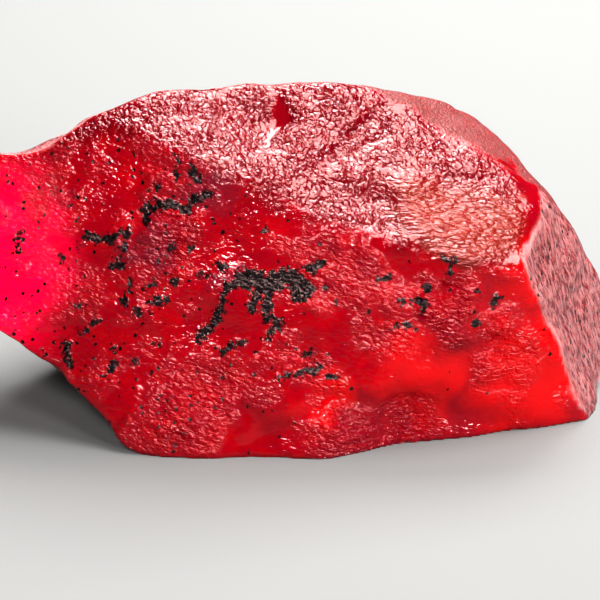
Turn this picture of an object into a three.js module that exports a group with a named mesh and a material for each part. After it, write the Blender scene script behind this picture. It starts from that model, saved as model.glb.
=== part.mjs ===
// Raw fluorite: one rough lump of the mineral, broken from a larger vein, lying on its flattest break.
// Millimetres, +Z up, the main broken face towards -Y. The origin is the middle of its box, on the floor.
//
// The lump is star-shaped: every ray from its heart meets the surface once. Its surface is the nearest of
// its break faces (planes) and hollows (conchoidal scoops), with worn edges and a relief of lumps, knobs,
// pits, ledges, a channel and a notch.
import * as THREE from "three";
import { mergeVertices } from "three/addons/utils/BufferGeometryUtils.js";

// Driving dimensions
const LENGTH = 63; // along X, only for the spacing of the mesh
const DEPTH = 27; // along Y
const HEIGHT = 30; // along Z
const FACET_SIZE = 1.36; // side of one mesh cell
const HEART = new THREE.Vector3(-1, 0, 14); // where the rays start

const FRESH_EDGE = 0.3; // softness of an edge between fresh breaks
const WORN_EDGE = 1.1; // softness of an edge of the old skin
const SKIN_EDGE = 0.6; // softness between the fresh breaks and the old skin
const HOLLOW_EDGE = 0.3; // softness of a hollow's rim
const WANDER = { size: 4, height: 0.5 }; // how the hollows' walls wander

// Lumps of the surface, coarse to fine
const LUMPS = [
  { size: 11, height: 0.6 },
  { size: 5, height: 0.4 },
  { size: 2.7, height: 0.22 },
];

// Settings of the search for edges
const FAR = 1e3; // stands for a ray that never meets a face
const REACH = 0.5; // share of a cell's side that a ray may turn
const HALVINGS = 10; // steps that close in on an edge

/** Unit vector that faces `turn` degrees to the right of the viewer (-Y) and `tilt` degrees up. */
function facing(turn, tilt) {
  const [a, t] = [turn, tilt].map(THREE.MathUtils.degToRad);
  return new THREE.Vector3(Math.sin(a) * Math.cos(t), -Math.cos(a) * Math.cos(t), Math.sin(t));
}

/** A break face: the plane through a point, facing `turn` and `tilt`. */
function face(turn, tilt, ...point) {
  const normal = facing(turn, tilt);
  return { normal, distance: new THREE.Vector3(...point).sub(HEART).dot(normal) };
}

/** A conchoidal hollow: a spheroid outside the lump, `half` long along its axis and `radius` round it. */
function hollow(centre, turn, tilt, half, radius) {
  const axis = facing(turn, tilt);
  return { centre: new THREE.Vector3(...centre), axis, squeeze: radius / half - 1, radius };
}

/** A round hollow that dents a face by `depth` at a point on it. */
function dent(point, turn, tilt, radius, depth) {
  const centre = new THREE.Vector3(...point).addScaledVector(facing(turn, tilt), radius - depth);
  return hollow(centre.toArray(), 0, 0, radius, radius);
}

/** A knob: height * exp(-(distance / reach)^2). A negative height makes a pit. */
function knob(centre, reach, height) {
  return { centre: new THREE.Vector3(...centre), reach, height };
}

/** A ledge: height * t / sqrt(1 + t^2), with t the way across in widths, dying out over its reach. */
function ledge(centre, turn, tilt, reach, height, width) {
  return { ...knob(centre, reach, height), across: facing(turn, tilt).divideScalar(width) };
}

const FLOOR = face(0, -90, 0, 0, 0);

// The broad front break turns gently from left to right.
const FRONT = [
  face(0, 16.5, 0, -13.7, 0),
  face(-13, 18, -14.6, -13.2, 0), // left third
  face(19.5, 0.5, 9.4, -11.5, 0), // right third
];

// Fresh, sharp breaks beside it
const TERRACE = face(21.3, 54, -12.4, -4.3, 27.5);
const RIGHT_END = face(67.5, 15.5, 21.1, -7.2, 16.9);

// Worn faces of the top, sides and back
const WORN = [
  face(-26, 50, -16.4, -3, 28.8), // brow, left of the terrace
  face(75, 65, 14.6, 3.7, 26.3), // right shoulder
  face(103, 34, 23.2, 0.3, 22.4), // right back, upper
  face(-174.5, 60, -9.4, 2.4, 32.2), // crown
  face(-145.5, 47.5, -16.6, -0.4, 31.4), // crown, left
  face(-168, 39.5, 4.9, 9.8, 28.8), // crown, back
  face(186, 14, 0, 14.5, 14), // back
  face(170, -30, 0, 15.4, 9.5), // back, lower
  face(-100, 10, -33.5, 0, 16), // left end
  face(-71, -45, -15.9, -12.5, 0), // underside of the left end
  face(-150, 2, -22, 10.5, 14), // left back
  face(108, -48, 30.8, 0, 0), // underside of the right end
];

const HOLLOWS = [
  dent([3.5, -8, 20.8], 21.3, 54, 55, 0.5), // the terrace's dish
  hollow([11.6, -21.6, 2.2], 107, -11, 21, 11.3), // chip along the foot of the front
  dent([-21.7, -9.5, 5], -71, -45, 40, 0.8), // undercut of the left end
  dent([-24, -0.8, 27.5], -140, 55, 9, 1.5), // saddle of the left crown
  dent([-11, 11, 16], -160, 22, 26, 1.3), // bite out of the back
  dent([-1.5, 12.9, 22], -172, 38, 17, 1.2), // second bite, up to the crown
  dent([15, 15, 12], 172, -8, 24, 1.1), // flake off the lower back
  dent([25.5, 13, 7], 140, -10, 9, 1.2), // nick in the back of the right end
];

// Knobs that stand proud of the faces, and shallow pits
const KNOBS = [
  knob([2.4, -13.6, 0.5], 3.6, 0.9), // foot of the front
  knob([29, -3.2, 0], 3.2, 1.1), // foot of the right end
  knob([8, 15, 14], 7, 0.8), // middle of the back
  knob([-3, -9.5, 15.3], 3, -0.35), // pit in the middle of the front
  knob([-8.6, -10.1, 11.4], 2, -0.3), // pit below it
  knob([-17, -7.2, 17.4], 2.2, -0.3), // pit left on the front
];

// Ledges: steps of twice `height` that rise towards `turn` and `tilt`
const LEDGES = [
  ledge([-11, -11.6, 5.6], 5, -72, 6, 0.3, 0.5), // low on the front
  ledge([9.5, -9.2, 15.2], -14, -72, 5, 0.28, 0.5), // right on the front
  ledge([-16, -6.8, 20.6], -20, -64, 7, 0.25, 0.6), // left on the front
  ledge([12, -2.6, 22], 15, -40, 7, -0.25, 0.5), // across the terrace
  ledge([4, 1.5, 26.4], -120, 30, 5, 0.25, 0.4), // at the top of the terrace
  ledge([3, 13, 9], 200, -60, 8, 0.45, 0.8), // across the lower back
  ledge([-20, 8, 16], 140, 30, 7, 0.4, 0.7), // left on the back
];

// Rounded channel under the ridge of the chip, from left to right
const CHANNEL = {
  width: 1.5,
  depth: 0.7,
  points: [
    new THREE.Vector3(-5, -13.4, 0),
    new THREE.Vector3(-0.7, -12.9, 2.6),
    new THREE.Vector3(2.8, -12.4, 4.8),
    new THREE.Vector3(6.8, -12.1, 4.5),
    new THREE.Vector3(11, -11, 3.4),
    new THREE.Vector3(20, -8.2, 0.4),
  ],
};

// Slanted notch of the terrace, up to the crest: shallow on its left, rising more steeply towards `across`
const NOTCH = {
  start: new THREE.Vector3(-4.8, -4.2, 25.1),
  run: new THREE.Vector3(2.3, 8.8, 4.5),
  across: facing(84.6, -18.1),
  depth: 1.4,
  shallow: 8,
  steep: 3.2,
};

/** Distance along a ray to a break face, or FAR behind it. */
function rayToFace(ray, { normal, distance }) {
  const lean = ray.dot(normal);
  return lean > 1e-3 ? distance / lean : FAR;
}

/** Distance along a ray to a spheroid's near wall, in the space where it is a sphere. */
function rayToSpheroid(ray, { centre, axis, squeeze, radius }) {
  const squeezed = (v) => v.clone().addScaledVector(axis, squeeze * v.dot(axis));
  const start = squeezed(HEART.clone().sub(centre));
  const step = squeezed(ray);
  const [a, b, c] = [step.dot(step), step.dot(start), start.dot(start) - radius * radius];
  const root = b * b - a * c;
  return root > 0 && b < 0 ? (-b - Math.sqrt(root)) / a : FAR;
}

/** Distance along a ray to a hollow's wall, which wanders in and out of its spheroid. */
function rayToHollow(ray, spheroid) {
  const distance = rayToSpheroid(ray, spheroid);
  if (distance === FAR) return FAR;
  return distance + WANDER.height * lumpAt(HEART.clone().addScaledVector(ray, distance), WANDER.size);
}

/** The smaller of some distances, with the corners between them rounded by `softness`. */
function softMin(distances, softness) {
  const least = Math.min(...distances);
  const sum = distances.reduce((total, d) => total + Math.exp((least - d) / softness), 0);
  return least - softness * Math.log(sum);
}

/** Repeatable value from -1 to 1 for a corner of the lump lattice. */
function latticeValue(x, y, z) {
  let h = Math.imul(x, 374761393) ^ Math.imul(y, 668265263) ^ Math.imul(z, 1274126177);
  h = Math.imul(h ^ (h >>> 13), 1103515245);
  h = Math.imul(h ^ (h >>> 16), 2246822519);
  return ((h >>> 8) & 0xffff) / 32767.5 - 1;
}

/** Smooth lumps: lattice values blended with quintic weights. */
function lump(x, y, z) {
  const cell = [x, y, z].map(Math.floor);
  const share = [x - cell[0], y - cell[1], z - cell[2]].map((f) => f * f * f * (f * (f * 6 - 15) + 10));
  let sum = 0;
  for (let corner = 0; corner < 8; corner++) {
    const bits = [corner & 1, (corner >> 1) & 1, corner >> 2];
    const weight = bits.reduce((w, bit, i) => w * (bit ? share[i] : 1 - share[i]), 1);
    sum += weight * latticeValue(cell[0] + bits[0], cell[1] + bits[1], cell[2] + bits[2]);
  }
  return sum;
}

/** Lump of a size at a point. The lattice is turned, so that its cells line up with no face. */
function lumpAt(p, size) {
  const [u, v, w] = [p.x * 0.8 + p.z * 0.6, p.y, p.z * 0.8 - p.x * 0.6];
  return lump((u * 0.8 + v * 0.6) / size, (v * 0.8 - u * 0.6) / size, w / size);
}

/** How far a knob or pit lifts a point. */
function knobRise(p, { centre, reach, height }) {
  return height * Math.exp(-p.distanceToSquared(centre) / reach ** 2);
}

/** How far a ledge lifts a point, or lowers it on its other side. */
function ledgeRise(p, step) {
  const t = p.clone().sub(step.centre).dot(step.across);
  return (knobRise(p, step) * t) / Math.sqrt(1 + t * t);
}

/** How far the channel lowers a point: depth * exp(-(distance / width)^2) from the line of its points. */
function channelRise(p, { points, width, depth }) {
  const apart = points.slice(1).map((end, i) => {
    const nearest = new THREE.Line3(points[i], end).closestPointToPoint(p, true, new THREE.Vector3());
    return nearest.distanceTo(p);
  });
  return -depth * Math.exp(-((Math.min(...apart) / width) ** 2));
}

/**
 * How far the notch lowers a point: depth * (share - |u| / width), with u the way across its foot. Its share
 * grows from nothing to 1 along its foot, and dies out at the crest.
 */
function notchRise(p, { start, run, across, depth, shallow, steep }) {
  const from = p.clone().sub(start);
  const along = from.dot(run) / run.lengthSq();
  const u = from.dot(across) + WANDER.height * lumpAt(p, WANDER.size);
  const share = Math.min(along / 0.7, 1, (1.06 - along) / 0.3);
  if (from.addScaledVector(run, -along).length() > 8.5) return 0; // the far side of the lump
  return -depth * Math.max(share - Math.abs(u) / (u < 0 ? shallow : steep), 0);
}

/** Height of the relief at a point. */
function relief(p) {
  const lumps = LUMPS.map(({ size, height }) => height * lumpAt(p, size));
  const forms = [...KNOBS.map((k) => knobRise(p, k)), ...LEDGES.map((l) => ledgeRise(p, l))];
  return [...lumps, ...forms, channelRise(p, CHANNEL), notchRise(p, NOTCH)].reduce((sum, rise) => sum + rise);
}

/** Distance along a ray to the surface above the floor: faces with worn edges, hollows, then the relief. */
function bodyDistance(ray) {
  const toFace = (f) => rayToFace(ray, f);
  const front = softMin(FRONT.map(toFace), WORN_EDGE);
  const fresh = softMin([front, toFace(TERRACE), toFace(RIGHT_END)], FRESH_EDGE);
  const whole = softMin([fresh, softMin(WORN.map(toFace), WORN_EDGE)], SKIN_EDGE);
  const chipped = softMin([whole, ...HOLLOWS.map((h) => rayToHollow(ray, h))], HOLLOW_EDGE);
  return chipped + relief(HEART.clone().addScaledVector(ray, chipped));
}

/** The surface point along a ray: the body, cut off flat at the floor. */
function surfacePoint(ray) {
  return HEART.clone().addScaledVector(ray, Math.min(bodyDistance(ray), rayToFace(ray, FLOOR)));
}

/** Which break a ray points at, hollows aside: 0 for the floor, or the number of the face. */
function pieceMet(ray) {
  if (rayToFace(ray, FLOOR) < bodyDistance(ray)) return 0;
  const found = [...FRONT, TERRACE, RIGHT_END, ...WORN].map((f) => rayToFace(ray, f));
  return 1 + found.indexOf(Math.min(...found));
}

/** A box of cells as long, deep and high as the lump, and the ray through each of its vertices. */
function rayMesh() {
  const cells = [LENGTH, DEPTH, HEIGHT].map((size) => Math.round(size / FACET_SIZE));
  const box = new THREE.BoxGeometry(LENGTH, DEPTH, HEIGHT, ...cells);
  box.deleteAttribute("normal");
  box.deleteAttribute("uv");
  const geometry = mergeVertices(box, 1e-3);
  const position = geometry.attributes.position;
  const rays = Array.from({ length: position.count }, (_, i) =>
    new THREE.Vector3().fromBufferAttribute(position, i).normalize(),
  );
  return { geometry, rays };
}

/** Turns the rays that pass close to an edge of the lump onto that edge, so that the mesh keeps it crisp. */
function turnToEdges(rays, index) {
  const met = rays.map(pieceMet);
  const turned = rays.map((ray) => ({ ray, share: REACH }));
  const between = (a, b, share) => rays[a].clone().lerp(rays[b], share).normalize();
  for (let k = 0; k < index.count; k++) {
    const [a, b] = [index.getX(k), index.getX(k - (k % 3) + ((k + 1) % 3))];
    if (a > b || met[a] === met[b]) continue;
    let [low, high] = [0, 1];
    for (let halving = 0; halving < HALVINGS; halving++) {
      const middle = (low + high) / 2;
      if (pieceMet(between(a, b, middle)) === met[a]) low = middle;
      else high = middle;
    }
    if (low < turned[a].share) turned[a] = { ray: between(a, b, low), share: low };
    if (1 - high < turned[b].share) turned[b] = { ray: between(a, b, high), share: 1 - high };
  }
  return turned.map(({ ray }) => ray);
}

/** The lump's closed mesh, moved so that the origin is the middle of its footprint's box. */
function lumpGeometry() {
  const { geometry, rays } = rayMesh();
  turnToEdges(rays, geometry.index).forEach((ray, i) => {
    geometry.attributes.position.setXYZ(i, ...surfacePoint(ray).toArray());
  });
  geometry.computeBoundingBox();
  const middle = geometry.boundingBox.getCenter(new THREE.Vector3());
  geometry.translate(-middle.x, -middle.y, 0);
  geometry.computeVertexNormals();
  return geometry;
}

const fluorite = new THREE.Mesh(
  lumpGeometry(),
  new THREE.MeshStandardMaterial({ color: 0xc8102a, roughness: 0.35, metalness: 0 }),
);
fluorite.name = "fluorite";

const part = new THREE.Group();
part.add(fluorite);
export default part;
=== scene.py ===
"""Raw fluorite: the looks of one broken lump of the mineral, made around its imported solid.

The lump is star-shaped: every ray from its heart meets the surface once. Its surface is the nearest of its
break faces and hollows, with worn edges and a lumpy relief, as in the solid, and carries a finer relief too.
Sizes of the lump are in millimetres, with the broad broken face towards -Y. Blender's are in metres.
"""

import logging
import math
from dataclasses import dataclass, field
from enum import Enum

import bpy
import numpy as np
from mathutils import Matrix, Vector


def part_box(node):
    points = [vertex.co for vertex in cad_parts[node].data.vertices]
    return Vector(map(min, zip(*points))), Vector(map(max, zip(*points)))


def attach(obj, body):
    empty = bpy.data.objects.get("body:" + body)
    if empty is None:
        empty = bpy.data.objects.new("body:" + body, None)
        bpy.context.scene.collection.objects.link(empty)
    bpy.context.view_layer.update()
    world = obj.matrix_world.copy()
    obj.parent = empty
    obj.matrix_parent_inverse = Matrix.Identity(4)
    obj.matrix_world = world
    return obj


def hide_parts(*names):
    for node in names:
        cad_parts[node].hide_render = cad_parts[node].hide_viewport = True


Array = np.ndarray
Point = tuple[float, float, float]
Colour = tuple[float, float, float]

MM = 0.001  # one millimetre, in metres
FAR = 1e3  # stands for a ray that never meets a face, in mm
LEAST_LEAN = 1e-3  # a ray that leans less than this towards a face never meets it
TURN = (0.8, 0.6)  # cosine and sine of the turn of the lumps' lattice
PRIMES = (374761393, 668265263, 1274126177)  # they part the lattice's three directions
MIXERS = (1103515245, 2246822519)  # they mix the bits of its corners
CAD_NODE = "fluorite"
BODY = "root"

log = logging.getLogger("fluorite")


class Finish(Enum):
    """How a face of the lump was left."""

    FLAT = "flat"  # the flat break that it rests on
    DRAWN = "drawn"  # fresh break, with its grain drawn out level
    PEBBLED = "pebbled"  # fresh break, pebbled all over
    GLASSY = "glassy"  # fresh chip, smooth
    SKIN = "skin"  # old frosted skin
    RUBBED = "rubbed"  # old skin, rubbed until the red shows through
    CHIPPED = "chipped"  # fresh chip, with its grain drawn out level, painted darker as shade in its hollow


@dataclass(frozen=True)
class Edges:
    """How softly the faces of each set meet, in mm.

    Attributes:
        worn: Between the worn faces, and between the parts of the front.
        fresh: Between the fresh breaks.
        skin: Between the fresh breaks and the worn faces.
        rim: Round the hollows.
    """

    worn: float = 1.1
    fresh: float = 0.3
    skin: float = 0.6
    rim: float = 0.3


def facing(turn: float, tilt: float) -> Array:
    """Gives the unit vector that faces `turn` degrees to the right of the viewer and `tilt` degrees up.

    Args:
        turn: Degrees round +Z from -Y towards +X.
        tilt: Degrees above the level.

    Returns:
        The vector (sin turn cos tilt, -cos turn cos tilt, sin tilt).
    """
    around, up = math.radians(turn), math.radians(tilt)
    level = math.cos(up)
    return np.array([math.sin(around) * level, -math.cos(around) * level, math.sin(up)])


def smooth_step(low: float, high: float, value: Array) -> Array:
    """Rises from 0 at `low` to 1 at `high`: t * t * (3 - 2 t), with t the clipped share of the way.

    Args:
        low: Where the rise starts.
        high: Where it ends.
        value: The values to map.

    Returns:
        The mapped values.
    """
    share = np.clip((value - low) / (high - low), 0.0, 1.0)
    return share * share * (3.0 - 2.0 * share)


def soft_min(distances: Array, softness: float) -> Array:
    """Takes the smallest row, with the corners rounded: least - s log(sum exp((least - d) / s)).

    Args:
        distances: One row for each face.
        softness: The rounding s, in mm.

    Returns:
        One distance for each ray.
    """
    least = distances.min(0)
    return least - softness * np.log(np.exp((least - distances) / softness).sum(0))


def lattice_value(x: Array, y: Array, z: Array) -> Array:
    """Hashes whole-numbered corners to repeatable values from -1 to 1, by 32-bit multiplies and shifts.

    Args:
        x: First whole numbers.
        y: Second whole numbers.
        z: Third whole numbers.

    Returns:
        The values.
    """
    x, y, z = (part.astype(np.int64).astype(np.uint32) for part in (x, y, z))
    first, second, third = (part * np.uint32(prime) for part, prime in zip((x, y, z), PRIMES))
    mixed = first ^ second ^ third
    mixed = (mixed ^ (mixed >> np.uint32(13))) * np.uint32(MIXERS[0])
    mixed = (mixed ^ (mixed >> np.uint32(16))) * np.uint32(MIXERS[1])
    return ((mixed >> np.uint32(8)) & np.uint32(0xFFFF)).astype(float) / 32767.5 - 1.0


def lumps(points: Array, size: float) -> Array:
    """Smooth lumps: lattice values of a turned lattice, blended by t^3 (t (6 t - 15) + 10) along each axis.

    Args:
        points: Points in mm, one to a row.
        size: Spacing of the lattice in mm.

    Returns:
        A height from about -1 to 1 for each point.
    """
    x, y, z = points.T
    cosine, sine = TURN
    first = x * cosine + z * sine
    turned = [first * cosine + y * sine, y * cosine - first * sine, z * cosine - x * sine]
    turned = np.stack(turned) / size
    cell = np.floor(turned)
    share = turned - cell
    blend = share**3 * (share * (share * 6.0 - 15.0) + 10.0)
    total = np.zeros(len(points))
    for corner in range(8):
        bits = (corner & 1, corner >> 1 & 1, corner >> 2)
        weight = np.prod([blend[i] if bit else 1.0 - blend[i] for i, bit in enumerate(bits)], axis=0)
        total += weight * lattice_value(cell[0] + bits[0], cell[1] + bits[1], cell[2] + bits[2])
    return total


def lump_vectors(points: Array, size: float, apart: float) -> Array:
    """Lumps in three directions: one set for each axis, each `apart` mm further on than the last.

    Args:
        points: Points in mm, one to a row.
        size: Spacing of their lattice in mm.
        apart: From the lumps of one axis to those of the next, in mm.

    Returns:
        One vector for each point, with parts from about -1 to 1.
    """
    return np.stack([lumps(points + apart * axis, size) for axis in range(3)], -1)


def line_distance(points: Array, line: Array) -> Array:
    """Distance of each point to a line of corners: the least |p - a - t (b - a)| of its pieces, 0 <= t <= 1.

    Args:
        points: Points, one to a row.
        line: The line's corners, one to a row. One corner alone is a point.

    Returns:
        One distance for each point.
    """
    nearest = np.linalg.norm(points - line[0], axis=1)
    for start, end in zip(line, line[1:]):
        run = end - start
        share = np.clip((points - start) @ run / (run @ run), 0.0, 1.0)
        nearest = np.minimum(nearest, np.linalg.norm(points - start - share[:, None] * run, axis=1))
    return nearest


@dataclass(frozen=True)
class Face:
    """A break face: the plane through a point.

    Attributes:
        turn: Degrees that it faces to the right of the viewer.
        tilt: Degrees that it faces up.
        point: A point on it, in mm.
        finish: How it was left.
    """

    turn: float
    tilt: float
    point: Point
    finish: Finish

    def distance(self, heart: Array, rays: Array) -> Array:
        """Distance along each ray to the plane: (p - heart).n / ray.n.

        Args:
            heart: Where the rays start.
            rays: The unit rays, one to a row.

        Returns:
            One distance for each ray, or FAR where it leaves the plane behind.
        """
        normal = facing(self.turn, self.tilt)
        lean = rays @ normal
        reach = float((np.array(self.point) - heart) @ normal)
        met = lean > LEAST_LEAN
        return np.where(met, reach / np.where(met, lean, 1.0), FAR)


@dataclass(frozen=True)
class Hollow:
    """A conchoidal hollow: what a spheroid outside the lump takes away.

    Attributes:
        centre: Its middle, in mm.
        turn: Degrees that its axis points to the right.
        tilt: Degrees that its axis points up.
        half: Half its length along the axis, in mm.
        radius: Its radius round the axis, in mm.
        finish: How it was left.
    """

    centre: Point
    turn: float
    tilt: float
    half: float
    radius: float
    finish: Finish

    @classmethod
    def dent(
        cls, point: Point, turn: float, tilt: float, radius: float, depth: float, finish: Finish
    ) -> "Hollow":
        """A round hollow that dents a face by `depth` at a point, centred `radius - depth` above it."""
        centre = np.array(point) + facing(turn, tilt) * (radius - depth)
        return cls(tuple(centre), 0.0, 0.0, radius, radius, finish)

    def distance(self, heart: Array, rays: Array) -> Array:
        """Distance along each ray to the near wall: the first root of |s + t d|^2 = r^2 in squeezed space.

        Args:
            heart: Where the rays start.
            rays: The unit rays, one to a row.

        Returns:
            One distance for each ray, or FAR where it misses the hollow.
        """
        axis = facing(self.turn, self.tilt)
        squeeze = self.radius / self.half - 1.0
        start = heart - np.array(self.centre)
        start = start + squeeze * (start @ axis) * axis
        step = rays + squeeze * (rays @ axis)[:, None] * axis
        a, b, c = (step**2).sum(1), step @ start, float(start @ start) - self.radius**2
        root = b * b - a * c
        met = (root > 0) & (b < 0)
        return np.where(met, (-b - np.sqrt(np.where(met, root, 0.0))) / a, FAR)


@dataclass(frozen=True)
class Knob:
    """A knob that stands proud: height * exp(-(distance / reach)^2), all in mm."""

    centre: Point
    reach: float
    height: float

    def rise(self, points: Array) -> Array:
        """How far the knob lifts each point."""
        return self.height * np.exp(-((points - np.array(self.centre)) ** 2).sum(1) / self.reach**2)


@dataclass(frozen=True)
class Ledge:
    """A step in the surface: height * t / sqrt(1 + t^2) * exp(-(distance / reach)^2), all in mm.

    Attributes:
        centre: Middle of the step.
        turn: Degrees that its raised side lies to the right.
        tilt: Degrees that its raised side lies up.
        reach: How far it runs before it dies out.
        height: Half the step.
        width: How softly it rises: t is the way across it, in widths.
    """

    centre: Point
    turn: float
    tilt: float
    reach: float
    height: float
    width: float

    def rise(self, points: Array) -> Array:
        """How far the step lifts each point, or lowers it on the other side.

        Args:
            points: Points in mm, one to a row.

        Returns:
            One lift for each point, in mm.
        """
        apart = points - np.array(self.centre)
        across = apart @ facing(self.turn, self.tilt) / self.width
        fade = np.exp(-(apart**2).sum(1) / self.reach**2)
        return self.height * across / np.sqrt(1.0 + across**2) * fade


@dataclass(frozen=True)
class Channel:
    """A rounded channel along a line of points: -depth * exp(-(distance / width)^2), all in mm."""

    points: tuple[Point, ...]
    width: float
    depth: float

    def rise(self, points: Array) -> Array:
        """How far the channel lowers each point."""
        return -self.depth * np.exp(-((line_distance(points, np.array(self.points)) / self.width) ** 2))


@dataclass(frozen=True)
class Notch:
    """A slanted notch: depth * (share - |u| / width) deep, with u the way across its foot, all in mm.

    Attributes:
        start: Where its foot starts.
        run: From there to the end of its foot.
        turn: Degrees that its steeper side lies to the right.
        tilt: Degrees that its steeper side lies up.
        depth: How deep it gets.
        shallow: Width of its shallow side.
        steep: Width of its steeper side.
        wander: Size and height of the wander of its foot.
        growth: Share of its run over which it grows to its full depth.
        crest: Where it has died out, in runs from its start.
        fade: Share of its run over which it dies out.
        reach: How far it spreads from its foot at most.
        border: How softly its steeper side takes over from the shallow one.
    """

    start: Point
    run: Point
    turn: float
    tilt: float
    depth: float
    shallow: float
    steep: float
    wander: tuple[float, float] = (4, 0.5)
    growth: float = 0.7
    crest: float = 1.06
    fade: float = 0.3
    reach: float = 8.5
    border: float = 0.3

    def shares(self, points: Array) -> tuple[Array, Array]:
        """Share of its depth, which grows along the foot and dies out at the crest and on the far side.

        Args:
            points: Points in mm, one to a row.

        Returns:
            The share of its depth, and the same on its steeper side alone.
        """
        run = np.array(self.run)
        start = points - np.array(self.start)
        along = start @ run / (run @ run)
        size, height = self.wander
        across = start @ facing(self.turn, self.tilt) + height * lumps(points, size)
        share = np.minimum(np.minimum(along / self.growth, 1.0), (self.crest - along) / self.fade)
        near = np.linalg.norm(start - along[:, None] * run, axis=1) < self.reach
        share = share - np.abs(across) / np.where(across < 0, self.shallow, self.steep)
        share = np.maximum(share, 0.0) * near
        return share, share * smooth_step(0.0, self.border, across)

    def rise(self, points: Array) -> Array:
        """How far the notch lowers each point."""
        return -self.depth * self.shares(points)[0]


@dataclass(frozen=True)
class Patch:
    """A round patch of the surface: 1 over its core, falling to 0 at its reach.

    Attributes:
        centre: Its middle, in mm.
        reach: Its radius, in mm.
        core: Share of its reach that it covers fully.
    """

    centre: Point
    reach: float
    core: float = 0.35

    def cover(self, points: Array) -> Array:
        """Share of the patch at each point."""
        apart = np.sqrt(((points - np.array(self.centre)) ** 2).sum(1))
        return 1.0 - smooth_step(self.core, 1.0, apart / self.reach)


@dataclass(frozen=True)
class Strand:
    """A dark strand in the front, seen from -Y: a band of one radius along a line of points, in mm.

    Attributes:
        radius: Half its width.
        line: Its points, along X and Z. One point alone gives a round speck.
    """

    radius: float
    line: tuple[tuple[float, float], ...]

    def depth(self, points: Array) -> Array:
        """How far inside the strand each point is: the radius less the distance to the line, in mm."""
        return self.radius - line_distance(points[:, (0, 2)], np.array(self.line))


def box_grid(size: Point, cell: float) -> tuple[Array, Array]:
    """Lays a grid of two parameters over each side of a box, with the sides' shared edges welded.

    Args:
        size: The box's length, depth and height.
        cell: The side of a cell.

    Returns:
        The points about the box's middle, and the four-cornered cells with their faces outwards.
    """
    counts = [round(side / cell) for side in size]
    corners: list[Array] = []
    cells: list[Array] = []
    total = 0
    for axis in range(3):
        right, up = (axis + 1) % 3, (axis + 2) % 3
        a, b = np.meshgrid(np.arange(counts[right] + 1), np.arange(counts[up] + 1), indexing="ij")
        index = np.arange(a.size).reshape(a.shape)
        quads = np.stack([index[:-1, :-1], index[1:, :-1], index[1:, 1:], index[:-1, 1:]], -1).reshape(-1, 4)
        for end in (0, counts[axis]):
            side = np.zeros((a.size, 3), int)
            side[:, axis], side[:, right], side[:, up] = end, a.ravel(), b.ravel()
            corners.append(side)
            cells.append(total + (quads if end else quads[:, ::-1]))
            total += a.size
    lattice, place = np.unique(np.concatenate(corners), axis=0, return_inverse=True)
    points = (lattice / np.array(counts) - 0.5) * np.array(size)
    return points, place.reshape(-1)[np.concatenate(cells)]


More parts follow.
